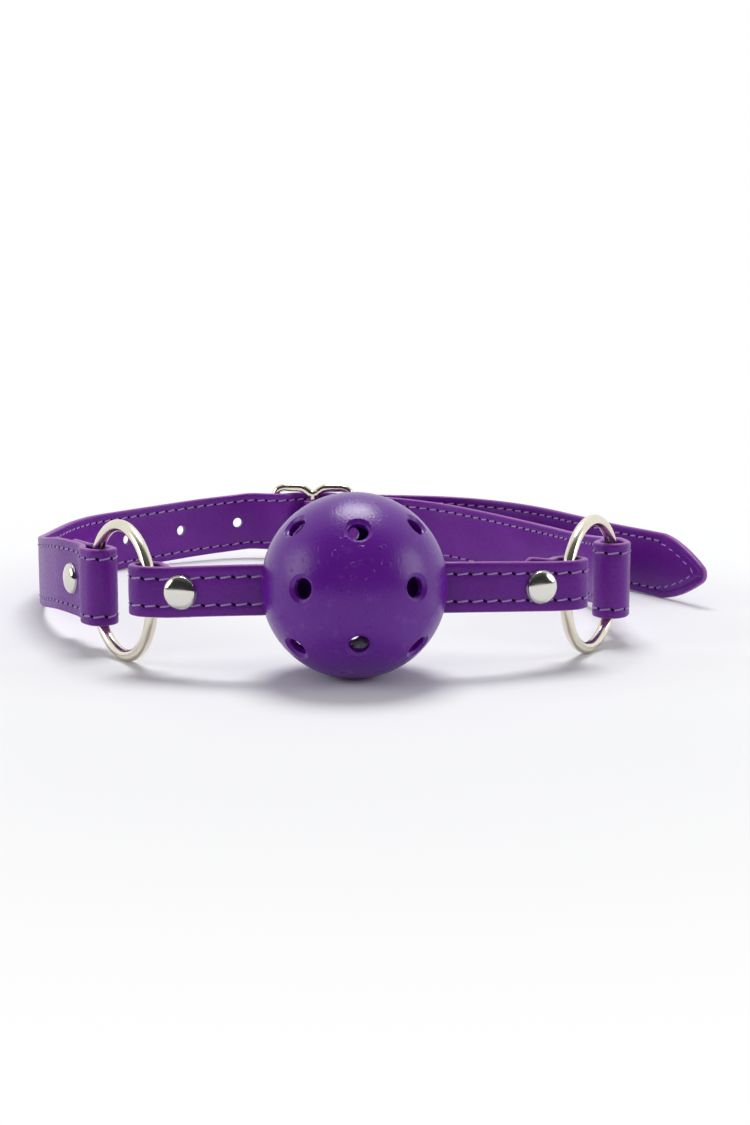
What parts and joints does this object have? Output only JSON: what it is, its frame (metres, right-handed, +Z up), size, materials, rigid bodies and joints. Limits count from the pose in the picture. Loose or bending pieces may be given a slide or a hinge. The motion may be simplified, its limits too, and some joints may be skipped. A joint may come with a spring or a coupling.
{
  "type": "breathable ball gag",
  "caption": "Adult restraint accessory: a perforated hollow plastic ball on a riveted synthetic-leather strap with metal O-rings, punched billet and centre-bar pin buckle; not a toy.",
  "frame": {"origin": "middle of the whole object's box, on the surface that it lies on", "axes": "+Z up, +Y from the ball towards the buckle, +X to the right as the ball faces the viewer along +Y"},
  "size_m": [0.1998, 0.2208, 0.045],
  "materials": {
    "ball_plastic": "glossy-satin purple moulded plastic",
    "strap_face": "satin purple synthetic leather, outer ply",
    "strap_lining": "satin purple synthetic leather, inner ply",
    "nickel": "bright nickel plate",
    "rivet_nickel": "nickel-plated rivet backs"
  },
  "bodies": {
    "rear_strap": {"billet_strap_face": "strap_face", "billet_strap_lining": "strap_lining", "buckle_strap_face": "strap_face", "buckle_strap_lining": "strap_lining", "buckle_frame": "nickel", "rear_rivet_left_cap": "nickel", "rear_rivet_left_post": "rivet_nickel", "rear_rivet_right_cap": "nickel", "rear_rivet_right_post": "rivet_nickel", "buckle_rivet_cap": "nickel", "buckle_rivet_post": "rivet_nickel"},
    "left_ring": {"ring_left": "nickel"},
    "front_strap": {"front_strap_face": "strap_face", "front_strap_lining": "strap_lining", "front_rivet_left_cap": "nickel", "front_rivet_left_post": "rivet_nickel", "front_rivet_right_cap": "nickel", "front_rivet_right_post": "rivet_nickel"},
    "ball": {"ball_front_half": "ball_plastic", "ball_rear_half": "ball_plastic"},
    "right_ring": {"ring_right": "nickel"},
    "prong": {"buckle_prong": "nickel"}
  },
  "joints": [
    {"name": "left_ring_swing", "type": "hinge", "parent": "rear_strap", "child": "left_ring", "pos_m": [-0.0707, -0.05681, 0.0174], "axis": [0, 0, 1], "range_deg": [-8, 8]},
    {"name": "front_strap_swing", "type": "hinge", "parent": "left_ring", "child": "front_strap", "pos_m": [-0.05402, -0.08152, 0.0205], "axis": [0, 0, 1], "range_deg": [-11, 11]},
    {"name": "ball_slide", "type": "slide", "parent": "front_strap", "child": "ball", "axis": [0.9972, 0.075, 0], "range_m": [-0.005, 0.005]},
    {"name": "right_ring_swing", "type": "hinge", "parent": "rear_strap", "child": "right_ring", "pos_m": [0.064, -0.04619, 0.0174], "axis": [0, 0, 1], "range_deg": [-9, 9]},
    {"name": "prong_swing", "type": "hinge", "parent": "rear_strap", "child": "prong", "pos_m": [-0.02085, 0.10471, 0.0133], "axis": [0, 0, -1], "range_deg": [0, 6]}
  ],
  "couplings": [
    {"joint": "front_strap_swing", "follows": "left_ring_swing", "ratio": -1.3119},
    {"joint": "right_ring_swing", "follows": "left_ring_swing", "ratio": 1.0639}
  ]
}
